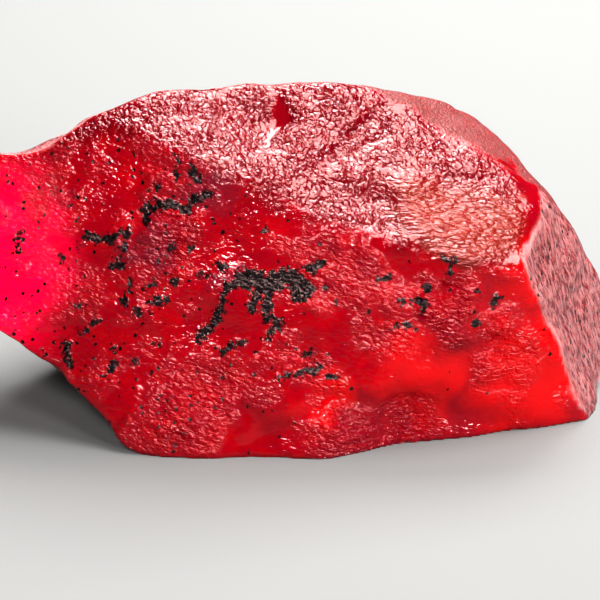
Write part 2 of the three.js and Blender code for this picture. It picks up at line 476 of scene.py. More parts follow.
@dataclass(frozen=True)
class LumpShape:
    """The shape of the lump in mm: all the forms of its solid, with bevels, creases and grain besides.

    Attributes:
        heart: Where the rays start.
        size: Box that spaces the rays.
        cell: Side of one cell of that box.
        floor: The flat break that it rests on.
        front: The broad front break, which turns gently from left to right.
        fresh: Sharp breaks beside it: the terrace above, the right end, and two narrow bevels between them,
            which the solid doesn't have.
        worn: The worn faces of the top, sides and back.
        hollows: The conchoidal hollows.
        knobs: Knobs that stand proud, and shallow pits, which are knobs of a negative height.
        ledges: Steps in the faces.
        channels: Rounded channels along lines.
        notch: The slanted notch of the terrace.
        creases: Narrow creases of the terrace, which the solid doesn't have.
        wander: Size and height of the wander of the hollows' walls.
        relief: Size and height of the lumps, coarse to fine.
        grain: Size and height of the finer lumps that the solid doesn't have.
        drawn: How far the grain is drawn out along X, Y and Z.
        settle: Height above the floor at which the fine relief has its full depth.
        edges: How softly the faces meet.
    """

    heart: Point = (-1.0, 0.0, 14.0)
    size: Point = (63.0, 27.0, 30.0)
    cell: float = 0.31
    floor: Face = Face(0, -90, (0, 0, 0), Finish.FLAT)
    front: tuple[Face, ...] = (
        Face(0, 16.5, (0, -13.7, 0), Finish.DRAWN),
        Face(-13, 18, (-14.6, -13.2, 0), Finish.DRAWN),
        Face(19.5, 0.5, (9.4, -11.5, 0), Finish.DRAWN),
    )
    fresh: tuple[Face, ...] = (
        Face(21.3, 54, (-12.4, -4.3, 27.5), Finish.PEBBLED),
        Face(67.5, 15.5, (21.1, -7.2, 16.9), Finish.SKIN),
        Face(50, 42, (22.4, -1.8, 19.5), Finish.GLASSY),
        Face(54, 58, (19.5, 3, 23.8), Finish.GLASSY),
    )
    worn: tuple[Face, ...] = (
        Face(-26, 50, (-16.4, -3, 28.8), Finish.PEBBLED),  # brow, left of the terrace
        Face(75, 65, (14.6, 3.7, 26.3), Finish.RUBBED),  # right shoulder
        Face(103, 34, (23.2, 0.3, 22.4), Finish.RUBBED),  # right back, upper
        Face(-174.5, 60, (-9.4, 2.4, 32.2), Finish.RUBBED),  # crown
        Face(-145.5, 47.5, (-16.6, -0.4, 31.4), Finish.RUBBED),  # crown, left
        Face(-168, 39.5, (4.9, 9.8, 28.8), Finish.SKIN),  # crown, back
        Face(186, 14, (0, 14.5, 14), Finish.SKIN),  # back
        Face(170, -30, (0, 15.4, 9.5), Finish.DRAWN),  # back, lower
        Face(-100, 10, (-33.5, 0, 16), Finish.DRAWN),  # left end
        Face(-71, -45, (-15.9, -12.5, 0), Finish.DRAWN),  # underside of the left end
        Face(-150, 2, (-22, 10.5, 14), Finish.SKIN),  # left back
        Face(108, -48, (30.8, 0, 0), Finish.DRAWN),  # underside of the right end
    )
    hollows: tuple[Hollow, ...] = (
        Hollow.dent((3.5, -8, 20.8), 21.3, 54, 55, 0.5, Finish.PEBBLED),  # the terrace's dish
        Hollow((11.6, -21.6, 2.2), 107, -11, 21, 11.3, Finish.CHIPPED),  # chip along the foot of the front
        Hollow.dent((-21.7, -9.5, 5), -71, -45, 40, 0.8, Finish.DRAWN),  # undercut of the left end
        Hollow.dent((-24, -0.8, 27.5), -140, 55, 9, 1.5, Finish.SKIN),  # saddle of the left crown
        Hollow.dent((-11, 11, 16), -160, 22, 26, 1.3, Finish.DRAWN),  # bite out of the back
        Hollow.dent((-1.5, 12.9, 22), -172, 38, 17, 1.2, Finish.DRAWN),  # second bite, up to the crown
        Hollow.dent((15, 15, 12), 172, -8, 24, 1.1, Finish.DRAWN),  # flake off the lower back
        Hollow.dent((25.5, 13, 7), 140, -10, 9, 1.2, Finish.GLASSY),  # nick in the back of the right end
    )
    knobs: tuple[Knob, ...] = (
        Knob((2.4, -13.6, 0.5), 3.6, 0.9),  # foot of the front
        Knob((29, -3.2, 0), 3.2, 1.1),  # foot of the right end
        Knob((8, 15, 14), 7, 0.8),  # middle of the back
        Knob((-3, -9.5, 15.3), 3, -0.35),  # pit of the black cluster
        Knob((-8.6, -10.1, 11.4), 2, -0.3),  # pit below it
        Knob((-17, -7.2, 17.4), 2.2, -0.3),  # pit of the left cluster
    )
    ledges: tuple[Ledge, ...] = (
        Ledge((-11, -11.6, 5.6), 5, -72, 6, 0.3, 0.5),  # low on the front
        Ledge((9.5, -9.2, 15.2), -14, -72, 5, 0.28, 0.5),  # right on the front
        Ledge((-16, -6.8, 20.6), -20, -64, 7, 0.25, 0.6),  # left on the front
        Ledge((12, -2.6, 22), 15, -40, 7, -0.25, 0.5),  # across the terrace
        Ledge((4, 1.5, 26.4), -120, 30, 5, 0.25, 0.4),  # at the top of the terrace
        Ledge((3, 13, 9), 200, -60, 8, 0.45, 0.8),  # across the lower back
        Ledge((-20, 8, 16), 140, 30, 7, 0.4, 0.7),  # left on the back
    )
    channels: tuple[Channel, ...] = (
        Channel(
            (
                (-5, -13.4, 0),
                (-0.7, -12.9, 2.6),
                (2.8, -12.4, 4.8),
                (6.8, -12.1, 4.5),
                (11, -11, 3.4),
                (20, -8.2, 0.4),
            ),
            1.5,
            0.7,
        ),
    )
    notch: Notch = Notch((-4.8, -4.2, 25.1), (2.3, 8.8, 4.5), 84.6, -18.1, 1.4, 8, 3.2)
    creases: tuple[Channel, ...] = (
        Channel(((-0.9, -1.3, 25.2), (0.7, 0.2, 25.9), (5, 2.1, 26.7), (6.7, 3.6, 27.6)), 0.4, 0.3),
        Channel(((4.4, -0.4, 24.5), (5.5, 0.7, 25.3), (8.1, 2.1, 26.2), (7.9, 3.6, 27.4)), 0.4, 0.3),
        Channel(((10.7, 3, 26), (12.3, 3.3, 25.6), (13.8, 3, 24.9), (14.2, 1.9, 24.2)), 0.4, 0.25),
        Channel(((11.3, 0.4, 24.1), (14.5, -0.2, 22.9), (16.7, 0.1, 22.5), (18.9, 1.1, 22.3)), 0.4, 0.25),
        Channel(((5.4, -4.2, 21.7), (9.9, -2.8, 22), (14.5, -1.4, 22), (17.6, -0.4, 21.9)), 0.5, 0.25),
    )
    wander: tuple[float, float] = (4, 0.5)
    relief: tuple[tuple[float, float], ...] = ((11, 0.6), (5, 0.4), (2.7, 0.22))
    grain: tuple[tuple[float, float], ...] = ((2.6, 0.2), (1.3, 0.12), (0.8, 0.07))
    drawn: Point = (1.8, 1.4, 1.0)
    settle: float = 0.8
    edges: Edges = Edges()

    def faces(self) -> tuple[Face | Hollow, ...]:
        """All faces and hollows, in a fixed order, without the floor."""
        return (*self.front, *self.fresh, *self.worn, *self.hollows)

    def rays(self) -> tuple[Array, Array]:
        """The unit rays from the heart, and the cells between them."""
        points, cells = box_grid(self.size, self.cell)
        return points / np.linalg.norm(points, axis=1)[:, None], cells

    def distances(self, rays: Array) -> Array:
        """Distance along each ray to each face and hollow. The hollows' walls wander by lumps.

        Args:
            rays: The unit rays, one to a row.

        Returns:
            The distances in mm, one row to a face.
        """
        heart = np.array(self.heart)
        rows = np.stack([face.distance(heart, rays) for face in self.faces()])
        size, height = self.wander
        for row in rows[-len(self.hollows) :]:
            met = row < FAR
            row[met] += height * lumps(self.place(rays[met], row[met]), size)
        return rows

    def body(self, rows: Array) -> Array:
        """Joins the faces' distances: each set by its own soft minimum, then the sets, then the hollows.

        Args:
            rows: What distances() gives.

        Returns:
            The distance to the smooth body along each ray.
        """
        fronts, ends = len(self.front), len(self.front) + len(self.fresh)
        sides = ends + len(self.worn)
        front = soft_min(rows[:fronts], self.edges.worn)
        fresh = soft_min(np.vstack([front, rows[fronts:ends]]), self.edges.fresh)
        worn = soft_min(rows[ends:sides], self.edges.worn)
        whole = soft_min(np.stack([fresh, worn]), self.edges.skin)
        return soft_min(np.vstack([whole, rows[sides:]]), self.edges.rim)

    def place(self, rays: Array, distance: Array) -> Array:
        """The points that far along the rays."""
        return np.array(self.heart) + rays * distance[:, None]

    def surface(self, rays: Array, rows: Array) -> Array:
        """The body, lifted by its knobs, ledges, channels, notch and lumps, and cut off at the floor.

        Args:
            rays: The unit rays.
            rows: What distances() gives.

        Returns:
            The surface's points in mm, before the fine relief.
        """
        body = self.body(rows)
        points = self.place(rays, body)
        lift = sum(form.rise(points) for form in (*self.knobs, *self.ledges, *self.channels, self.notch))
        lift = lift + sum(height * lumps(points, size) for size, height in self.relief)
        floor = self.floor.distance(np.array(self.heart), rays)
        return self.place(rays, np.minimum(body + lift, floor))

    def grained(self, rays: Array, points: Array, lively: Array, sunk: Array) -> Array:
        """Adds the fine relief along the rays, which dies out towards the floor.

        Args:
            rays: The unit rays.
            points: What surface() gives.
            lively: Share of the grain at each point.
            sunk: Depth to press each point in, in mm.

        Returns:
            The finished surface.
        """
        drawn = points / np.array(self.drawn)
        lift = lively * sum(height * lumps(drawn, size) for size, height in self.grain)
        lift = lift + sum(crease.rise(points) for crease in self.creases) - sunk
        return points + rays * (lift * smooth_step(0.0, self.settle, points[:, 2]))[:, None]


def node(tree: bpy.types.NodeTree, kind: str, **values: object) -> bpy.types.Node:
    """Adds a node and sets it up.

    Args:
        tree: The tree that takes it.
        kind: Its type, such as "ShaderNodeMath".
        **values: Properties of the node, or else inputs by socket name, or by i and the socket's number.

    Returns:
        The node.
    """
    made = tree.nodes.new(kind)
    for key, value in values.items():
        if hasattr(made, key):
            setattr(made, key, value)
    for key, value in values.items():
        if not hasattr(made, key):
            feed(tree, value, made.inputs[int(key[1:]) if key[0] == "i" and key[1:].isdigit() else key])
    return made


def feed(tree: bpy.types.NodeTree, value: object, socket: bpy.types.NodeSocket) -> None:
    """Links an output to a socket, or sets the socket's own value.

    Args:
        tree: The tree that holds both.
        value: An output socket, a number or a colour.
        socket: The input.
    """
    if isinstance(value, bpy.types.NodeSocket):
        tree.links.new(value, socket)
    elif isinstance(value, tuple) and len(socket.default_value) == 4:
        socket.default_value = (*value, 1.0)
    else:
        socket.default_value = value


def math_node(tree: bpy.types.NodeTree, operation: str, *values: object) -> bpy.types.NodeSocket:
    """Adds a Math node.

    Args:
        tree: The tree that takes it.
        operation: What it does, such as "ADD".
        *values: Its inputs.

    Returns:
        Its result.
    """
    made = node(tree, "ShaderNodeMath", operation=operation)
    for value, socket in zip(values, made.inputs):
        feed(tree, value, socket)
    return made.outputs[0]


def mix_colour(tree: bpy.types.NodeTree, share: object, low: object, high: object) -> bpy.types.NodeSocket:
    """Mixes two colours: low + share * (high - low).

    Args:
        tree: The tree that takes the node.
        share: How much of the second colour there is.
        low: The first colour.
        high: The second colour.

    Returns:
        The mixed colour.
    """
    made = node(tree, "ShaderNodeMix", data_type="RGBA")
    for value, socket in zip((share, low, high), (made.inputs[0], made.inputs[6], made.inputs[7])):
        feed(tree, value, socket)
    return made.outputs[2]


def mix_value(tree: bpy.types.NodeTree, share: object, low: object, high: object) -> bpy.types.NodeSocket:
    """Mixes two numbers: low + share * (high - low).

    Args:
        tree: The tree that takes the node.
        share: How much of the second number there is.
        low: The first number.
        high: The second number.

    Returns:
        The mixed number.
    """
    made = node(tree, "ShaderNodeMix", data_type="FLOAT")
    for value, socket in zip((share, low, high), (made.inputs[0], made.inputs[2], made.inputs[3])):
        feed(tree, value, socket)
    return made.outputs[0]


def noise(tree: bpy.types.NodeTree, place: object, scale: object, **values: float) -> bpy.types.NodeSocket:
    """Adds a noise texture and gives its value, from 0 to 1."""
    return node(tree, "ShaderNodeTexNoise", Vector=place, Scale=scale, **values).outputs["Fac"]


def between(tree: bpy.types.NodeTree, value: object, low: float, high: float) -> bpy.types.NodeSocket:
    """Maps low..high to 0..1 with eased ends.

    Args:
        tree: The tree that takes the node.
        value: What to map.
        low: Where the rise starts.
        high: Where it ends. Below `low`, the map falls instead.

    Returns:
        The mapped value.
    """
    made = node(tree, "ShaderNodeMapRange", interpolation_type="SMOOTHSTEP")
    feed(tree, value, made.inputs[0])
    made.inputs[1].default_value, made.inputs[2].default_value = low, high
    return made.outputs[0]


def attribute(tree: bpy.types.NodeTree, name: str) -> bpy.types.NodeSocket:
    """Reads one of the piece's own numbers."""
    return node(tree, "ShaderNodeAttribute", attribute_name=name, attribute_type="GEOMETRY").outputs["Fac"]


def millimetres(
    tree: bpy.types.NodeTree, stretch: Point = (1, 1, 1), lean: float = 0.0
) -> bpy.types.NodeSocket:
    """Object coordinates in mm, leant over about Y and each divided by its stretch.

    Args:
        tree: The tree that takes the nodes.
        stretch: How far a pattern on them is drawn out along X, Y and Z.
        lean: Degrees that the pattern leans over.

    Returns:
        The coordinates.
    """
    place = node(tree, "ShaderNodeTexCoord").outputs["Object"]
    made = node(tree, "ShaderNodeMapping", vector_type="TEXTURE", Vector=place)
    made.inputs["Rotation"].default_value = (0.0, math.radians(lean), 0.0)
    made.inputs["Scale"].default_value = tuple(MM * part for part in stretch)
    return made.outputs[0]


def new_group(name: str, inputs: dict[str, float], outputs: tuple[str, ...]) -> bpy.types.NodeTree:
    """Starts a shader group with number sockets and one vector socket, Place.

    Args:
        name: The group's name.
        inputs: Its numbers, with their usual values.
        outputs: Its outputs.

    Returns:
        The group's tree, with its Group Input and Group Output in place.
    """
    tree = bpy.data.node_groups.new(name, "ShaderNodeTree")
    tree.interface.new_socket("Place", in_out="INPUT", socket_type="NodeSocketVector")
    for key, value in inputs.items():
        socket = tree.interface.new_socket(key, in_out="INPUT", socket_type="NodeSocketFloat")
        socket.default_value = value
    for key in outputs:
        tree.interface.new_socket(key, in_out="OUTPUT", socket_type="NodeSocketFloat")
    tree.nodes.new("NodeGroupInput")
    tree.nodes.new("NodeGroupOutput")
    return tree


def ends(tree: bpy.types.NodeTree) -> tuple[bpy.types.NodeOutputs, bpy.types.NodeInputs]:
    """Finds the sockets that a group's own nodes read from and write to.

    Args:
        tree: The group's tree.

    Returns:
        Its inputs, as outputs of its first node, and its outputs, as inputs of its last one.
    """
    start = next(n for n in tree.nodes if n.bl_idname == "NodeGroupInput")
    end = next(n for n in tree.nodes if n.bl_idname == "NodeGroupOutput")
    return start.outputs, end.inputs


def grain_group() -> bpy.types.NodeTree:
    """Broken grain: pebbles of one size, 1 - drop * (2 d)^Flatness, warped and roughened by finer noise.

    Returns:
        A group from Place, Size, Fray and Flatness (2 for round tops, more for flat ones) to Height.
    """
    drop, softness, finer = 0.4, 0.2, 1.7  # a pebble's drop, how softly pebbles meet, how fine the noise is
    tree = new_group("broken grain", {"Size": 0.6, "Fray": 0.5, "Flatness": 2.0}, ("Height",))
    source, result = ends(tree)
    scale = math_node(tree, "DIVIDE", 1.0, source["Size"])
    warp = node(tree, "ShaderNodeTexNoise", Vector=source["Place"], Scale=scale, Detail=1.0)
    bent = warp.outputs["Color"]
    shift = node(tree, "ShaderNodeVectorMath", operation="SCALE", i0=bent, Scale=source["Size"])
    moved = node(tree, "ShaderNodeVectorMath", operation="ADD", i0=source["Place"], i1=shift.outputs[0])
    cells = node(tree, "ShaderNodeTexVoronoi", feature="SMOOTH_F1", Vector=moved.outputs[0], Scale=scale)
    cells.inputs["Smoothness"].default_value = softness
    fine = noise(tree, source["Place"], math_node(tree, "MULTIPLY", scale, finer), Detail=2.0)
    apart = math_node(tree, "MULTIPLY", cells.outputs["Distance"], 2.0)
    bowl = math_node(tree, "POWER", apart, source["Flatness"])
    dome = math_node(tree, "MULTIPLY_ADD", bowl, -drop, 1.0)
    height = mix_value(tree, source["Fray"], dome, fine)
    tree.links.new(height, result["Height"])
    return tree


def ridge_group() -> bpy.types.NodeTree:
    """Short winding ridges, where noise of one size crosses its middle: 1 - min(|noise - middle| / Width, 1).

    Returns:
        A group from Place, Size and Width to Height, from 0 to 1.
    """
    middle, rounding = 0.5, 0.3  # the noise's middle value, and how round a ridge's foot is
    tree = new_group("winding ridges", {"Size": 0.6, "Width": 0.1}, ("Height",))
    source, result = ends(tree)
    scale = math_node(tree, "DIVIDE", 1.0, source["Size"])
    wave = noise(tree, source["Place"], scale, Detail=1.5, Distortion=0.6)
    apart = math_node(tree, "ABSOLUTE", math_node(tree, "SUBTRACT", wave, middle))
    share = math_node(tree, "MINIMUM", math_node(tree, "DIVIDE", apart, source["Width"]), 1.0)
    height = math_node(tree, "SUBTRACT", 1.0, math_node(tree, "SMOOTH_MIN", share, 1.0, rounding))
    tree.links.new(height, result["Height"])
    return tree


def fleck_group() -> bpy.types.NodeTree:
    """Scattered dark flecks: small cells, of which only a share is dark, with frayed edges.

    Returns:
        A group from Place, Size and Share to Mask.
    """
    finer, fray_depth = 2.4, 0.7  # how fine the fray of the flecks is, and how deep
    border = (0.5, 0.62)  # distance over which a fleck ends, in cells
    tree = new_group("dark flecks", {"Size": 1.0, "Share": 0.1}, ("Mask",))
    source, result = ends(tree)
    scale = math_node(tree, "DIVIDE", 1.0, source["Size"])
    fray = noise(tree, source["Place"], math_node(tree, "MULTIPLY", scale, finer))
    cells = node(tree, "ShaderNodeTexVoronoi", feature="F1", Vector=source["Place"], Scale=scale)
    chosen = node(tree, "ShaderNodeSeparateColor", Color=cells.outputs["Color"]).outputs[0]
    kept = math_node(tree, "LESS_THAN", chosen, source["Share"])
    ragged = math_node(tree, "MULTIPLY_ADD", fray, fray_depth, cells.outputs["Distance"])
    near = math_node(tree, "SUBTRACT", 1.0, between(tree, ragged, *border))
    tree.links.new(math_node(tree, "MULTIPLY", kept, near), result["Mask"])
    return tree


def use_group(tree: bpy.types.NodeTree, group: bpy.types.NodeTree, **values: object) -> bpy.types.NodeSocket:
    """Places a group in a tree.

    Args:
        tree: The tree that takes it.
        group: The group.
        **values: Its inputs, by name.

    Returns:
        Its first output.
    """
    made = tree.nodes.new("ShaderNodeGroup")
    made.node_tree = group
    for key, value in values.items():
        feed(tree, value, made.inputs[key])
    return made.outputs[0]


@dataclass(frozen=True)
class RedStone:
    """The finish of the lump: translucent red with a glossy shine, black specks and a frosted skin.

    Attributes:
        deep: Red of the clouded parts.
        clear: Red of the clear parts.
        top_shade_red: Red of the pebbled breaks, which let the light in, painted darker as shade where the
            breaks face up.
        magenta: Where light comes through the thin left end.
        orange: Where the terrace is thin and smooth.
        frost: Skin, where it is worn.
        chalk: Skin, where it is white.
        rim: Worn edges of the skin.
        rubbed: Skin, where the red shows through.
        haze: Grey purple of the finest specks, too small to tell apart.
        gap_shade: Painted shade between the pebbles, a darker red.
        black: The inclusions.
        shine: Roughness of the fresh breaks.
        satin: Roughness of the orange band and of the inclusions.
        matt: Roughness of the skin.
        bend: How much the stone bends light.
        glint: Tint of its reflections.
        soak: How far each colour of light spreads in it, in soak depths.
        soak_depth: The soak depth, in metres.
        relief: Height that stands for 1 in the grain's height, in metres.
        clouding: Clearness over which the red goes from deep to clear.
        whitening: Streaks over which the skin goes from worn to white.
        skin_border: Cover over which the skin sets in.
        dark_border: Depth over which the inclusions set in.
        gap_shade_border: Height over which the painted shade between the pebbles sets in.
        crisp_border: Noise over which the terrace's grain goes from low to crisp.
        crispness: How strong that grain is where it is low, and where it is crisp.
        skin_lean: Degrees that the skin's streaks and grain lean over.
        break_lean: Degrees that the fresh breaks' drawn grain leans over.
    """

    deep: Colour = (0.21, 0.0, 0.007)
    clear: Colour = (0.4, 0.0, 0.002)
    top_shade_red: Colour = (0.1, 0.0, 0.003)
    magenta: Colour = (0.76, 0.0, 0.06)
    orange: Colour = (0.14, 0.009, 0.004)
    frost: Colour = (0.085, 0.005, 0.009)
    chalk: Colour = (0.27, 0.112, 0.112)
    rim: Colour = (0.36, 0.18, 0.18)
    rubbed: Colour = (0.1, 0.01, 0.01)
    haze: Colour = (0.09, 0.012, 0.03)
    gap_shade: Colour = (0.11, 0.0, 0.003)
    black: Colour = (0.004, 0.001, 0.002)
    shine: float = 0.08
    satin: float = 0.2
    matt: float = 0.5
    bend: float = 1.434
    glint: Colour = (1.0, 0.68, 0.64)
    soak: Colour = (1.0, 0.06, 0.05)
    soak_depth: float = 0.002
    relief: float = 0.0005
    clouding: tuple[float, float] = (0.25, 1.15)
    whitening: tuple[float, float] = (0.38, 0.6)
    skin_border: tuple[float, float] = (0.75, 1.15)
    dark_border: tuple[float, float] = (1.42, 1.64)
    gap_shade_border: tuple[float, float] = (0.56, 0.4)
    crisp_border: tuple[float, float] = (0.4, 0.62)
    crispness: tuple[float, float] = (0.22, 0.48)
    skin_lean: float = -17.0
    break_lean: float = 8.0

    def reds(self, tree: bpy.types.NodeTree) -> bpy.types.NodeSocket:
        """Builds the colour of the fresh stone: clouded red, with clear, magenta and orange patches, and
        painted shade, a darker red, on the breaks that face up.

        Args:
            tree: The material's tree.

        Returns:
            The colour.
        """
        cloud = noise(tree, millimetres(tree), 0.42, Detail=6.0, Roughness=0.7)
        clearness = math_node(tree, "MULTIPLY_ADD", attribute(tree, "clear"), 0.6, cloud)
        red = mix_colour(tree, between(tree, clearness, *self.clouding), self.deep, self.clear)
        # Painted shade: the breaks that face up, and half the glassy ones, get a darker red, which tempers
        # the light from above.
        red = mix_colour(tree, attribute(tree, "upward_shade"), red, self.top_shade_red)
        red = mix_colour(tree, attribute(tree, "orange"), red, self.orange)
        return mix_colour(tree, attribute(tree, "magenta"), red, self.magenta)

    def skins(self, tree: bpy.types.NodeTree) -> tuple[bpy.types.NodeSocket, bpy.types.NodeSocket]:
        """Builds the frosted skin, streaked along its length.

        Args:
            tree: The material's tree.

        Returns:
            Its colour, and the share that it covers.
        """
        drawn = millimetres(tree, (0.5, 0.8, 1.7), self.skin_lean)
        streaks = noise(tree, drawn, 1.7, Detail=5.0, Roughness=0.7)
        frost = mix_colour(tree, attribute(tree, "rubbed"), self.frost, self.rubbed)
        pale = math_node(tree, "MULTIPLY_ADD", attribute(tree, "rubbed"), -0.16, streaks)
        frost = mix_colour(tree, between(tree, pale, *self.whitening), frost, self.chalk)
        worn = noise(tree, millimetres(tree), 0.7, Detail=5.0, Roughness=0.7)
        patchy = math_node(tree, "MULTIPLY_ADD", worn, 0.9, attribute(tree, "skin"))
        return frost, between(tree, patchy, *self.skin_border)

    def darks(self, tree: bpy.types.NodeTree) -> bpy.types.NodeSocket:
        """Builds the mask of the inclusions: crumbled strands, and flecks scattered between them.

        Args:
            tree: The material's tree.

        Returns:
            The mask, 1 in an inclusion.
        """
        # The depth inside the strands, in mm, crumbled by two sizes of noise.
        place = millimetres(tree)
        crumbs = noise(tree, place, 1.5, Detail=1.0)
        dust = noise(tree, place, 3.4, Detail=2.0, Roughness=0.75)
        edge = math_node(tree, "MULTIPLY_ADD", crumbs, 1.5, attribute(tree, "inside"))
        edge = math_node(tree, "MULTIPLY_ADD", dust, 1.6, edge)
        share = math_node(tree, "MULTIPLY", attribute(tree, "fleck"), 0.5)
        flecks = use_group(tree, fleck_group(), Place=place, Size=0.75, Share=share)
        return math_node(tree, "MAXIMUM", between(tree, edge, *self.dark_border), flecks)

    def heights(
        self, tree: bpy.types.NodeTree, skin: bpy.types.NodeSocket
    ) -> tuple[bpy.types.NodeSocket, bpy.types.NodeSocket]:
        """Builds the height of the grain, and the height of the pebbles alone.

        Args:
            tree: The material's tree.
            skin: Share of frosted skin.

        Returns:
            Both heights, in the same unit.
        """
        # The pebbles are round, and the other grains are drawn out: level, along the streaks, or in ripples.
        grain, winding = grain_group(), ridge_group()
        level = millimetres(tree, (1.7, 1.4, 1.0), self.break_lean)
        round_place = millimetres(tree)
        pebbles = use_group(tree, grain, Place=round_place, Size=0.5, Fray=0.4, Flatness=3.0)
        creases = use_group(tree, winding, Place=round_place, Size=1.1, Width=0.1)
        patches = noise(tree, round_place, 0.45, Detail=2.0)
        drawn = use_group(tree, grain, Place=level, Size=0.36, Fray=0.5)
        ridges = use_group(tree, winding, Place=level, Size=0.55, Width=0.2)
        streaked = millimetres(tree, (0.6, 0.8, 2.0), self.skin_lean)
        frosted = use_group(tree, grain, Place=streaked, Size=0.5, Fray=0.8)
        ripples = use_group(tree, grain, Place=millimetres(tree, (2.8, 1.2, 1.0)), Size=0.36, Fray=0.5)
        drawn = math_node(tree, "MULTIPLY_ADD", ridges, 0.14, math_node(tree, "MULTIPLY", drawn, 0.42))
        crisp = mix_value(tree, between(tree, patches, *self.crisp_border), *self.crispness)
        open_grain = math_node(tree, "MULTIPLY_ADD", creases, -0.4, pebbles)
        pebbled = math_node(tree, "MULTIPLY", open_grain, crisp)
        fresh = mix_value(tree, attribute(tree, "pebbled"), drawn, pebbled)
        fresh = mix_value(tree, attribute(tree, "orange"), fresh, ripples)
        fresh = math_node(tree, "MULTIPLY", fresh, attribute(tree, "rough"))
        return mix_value(tree, skin, fresh, math_node(tree, "MULTIPLY", frosted, 0.45)), open_grain

    def material(self) -> bpy.types.Material:
        """Builds the material.

        Returns:
            The material, on Object coordinates and the piece's own numbers.
        """
        made = bpy.data.materials.new("red stone")
        made.use_nodes = True
        tree = made.node_tree
        tree.nodes.clear()
        frost, skin = self.skins(tree)
        height, pebbles = self.heights(tree, skin)
        open_share = math_node(tree, "SUBTRACT", attribute(tree, "pebbled"), attribute(tree, "orange"))
        # Painted shade: between the pebbles the red is painted darker.
        gap_shade_mask = math_node(tree, "MULTIPLY", open_share, between(tree, pebbles, *self.gap_shade_border))
        colour = mix_colour(tree, math_node(tree, "MULTIPLY", gap_shade_mask, 0.7), self.reds(tree), self.gap_shade)
        colour = mix_colour(tree, skin, colour, frost)
        colour = mix_colour(tree, attribute(tree, "edge"), colour, self.rim)
        colour = mix_colour(tree, attribute(tree, "haze"), colour, self.haze)
        dark = self.darks(tree)
        colour = mix_colour(tree, dark, colour, self.black)
        bump = node(tree, "ShaderNodeBump", Height=height, Strength=1.0, Distance=self.relief)
        dull = mix_value(tree, attribute(tree, "orange"), self.shine, self.satin)
        dull = mix_value(tree, dark, dull, self.satin)

        shader = node(tree, "ShaderNodeBsdfPrincipled")
        shader.subsurface_method = "RANDOM_WALK"
        feed(tree, colour, shader.inputs["Base Color"])
        feed(tree, mix_value(tree, skin, dull, self.matt), shader.inputs["Roughness"])
        feed(tree, bump.outputs[0], shader.inputs["Normal"])
        shader.inputs["IOR"].default_value = self.bend
        shader.inputs["Specular Tint"].default_value = (*self.glint, 1.0)
        shader.inputs["Subsurface Weight"].default_value = 1.0
        shader.inputs["Subsurface Radius"].default_value = self.soak
        shader.inputs["Subsurface Scale"].default_value = self.soak_depth
        end = node(tree, "ShaderNodeOutputMaterial")
        tree.links.new(shader.outputs[0], end.inputs[0])
        return made


@dataclass(frozen=True)
class GrainStrength:
    """How strong the grain is on each kind of break.

    Attributes:
        calm: On a calm break.
        lively: What a lively patch adds.
        glitter: What a glittering patch adds.
        pebbled: Share that the pebbled breaks lose.
        quiet: Share that smooth and glassy parts lose.
    """

    calm: float = 0.2
    lively: float = 1.0
    glitter: float = 1.3
    pebbled: float = 0.38
    quiet: float = 0.8

    def at(self, lively: Array, glitter: Array, pebbled: Array, quiet: Array) -> Array:
        """Gives (calm + lively l + glitter g) (1 - pebbled p) (1 - quiet q), with these values as factors.

        Args:
            lively: Share l of lively patches at each point.
            glitter: Share g of glittering patches.
            pebbled: Share p of pebbled breaks.
            quiet: Share q of smooth and glassy parts.

        Returns:
            The strength at each point.
        """
        strength = self.calm + self.lively * lively + self.glitter * glitter
        return strength * (1.0 - self.pebbled * pebbled) * (1.0 - self.quiet * quiet)


